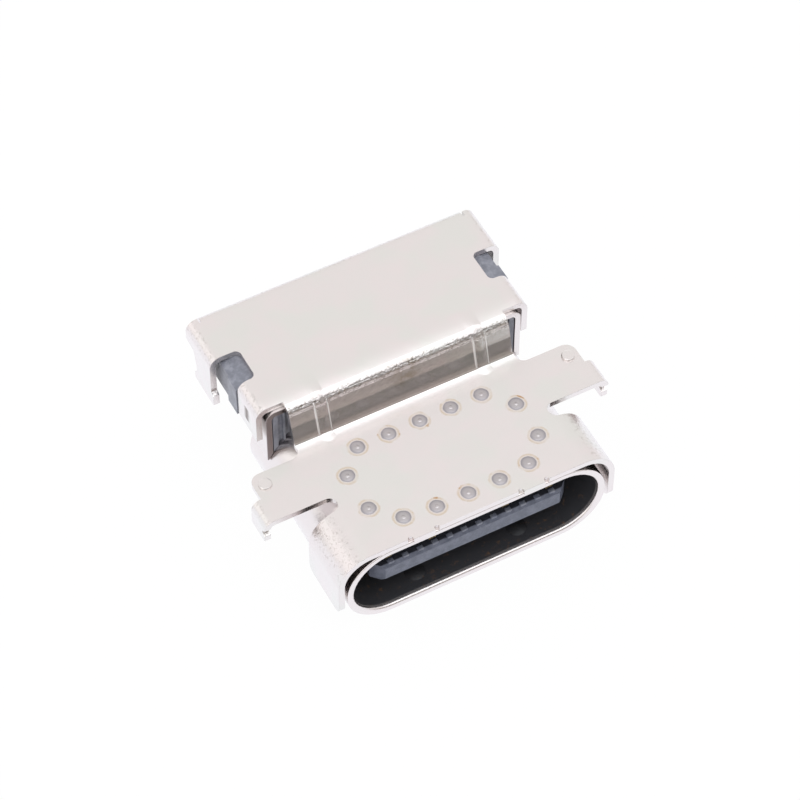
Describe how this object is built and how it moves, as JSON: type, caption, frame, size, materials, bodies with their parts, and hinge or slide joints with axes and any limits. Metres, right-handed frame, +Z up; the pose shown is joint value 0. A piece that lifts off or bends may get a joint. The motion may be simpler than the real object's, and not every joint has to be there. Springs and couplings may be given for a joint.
{
  "type": "usb-c socket",
  "caption": "Board-edge connector socket sunk into a circuit board: oval drawn metal mouth with a central tongue, folded metal cover with soldering ears and a raised rear roof.",
  "frame": {"origin": "middle of the mouth opening, in the plane of the tube's front edge", "axes": "+X to the right across the mouth as seen from above with the mouth towards the viewer, +Y back into the connector, +Z up, away from the board"},
  "size_m": [0.0118, 0.0099, 0.0046],
  "materials": {
    "tube": "bright nickel over drawn steel",
    "cover": "satin nickel over stamped steel, with weld spots",
    "strap": "satin nickel over stamped steel",
    "housing": "matt moulding",
    "tongue": "matt moulding",
    "mid_plate": "bare stainless steel",
    "ground_pads": "nickel-plated",
    "contacts": "gold-plated at the tips, tin-plated at the feet"
  },
  "bodies": {
    "root": {"mouth_shell": "tube", "top_cover": "cover", "inner_strap": "strap", "housing": "housing", "tongue": "tongue", "mid_plate": "mid_plate", "ground_pad_top": "ground_pads", "ground_pad_bottom": "ground_pads", "contact_a1": "contacts", "contact_a2": "contacts", "contact_a3": "contacts", "contact_a4": "contacts", "contact_a5": "contacts", "contact_a6": "contacts", "contact_a7": "contacts", "contact_a8": "contacts", "contact_a9": "contacts", "contact_a10": "contacts", "contact_a11": "contacts", "contact_a12": "contacts", "contact_b1": "contacts", "contact_b2": "contacts", "contact_b3": "contacts", "contact_b4": "contacts", "contact_b5": "contacts", "contact_b6": "contacts", "contact_b7": "contacts", "contact_b8": "contacts", "contact_b9": "contacts", "contact_b10": "contacts", "contact_b11": "contacts", "contact_b12": "contacts"}
  },
  "joints": []
}
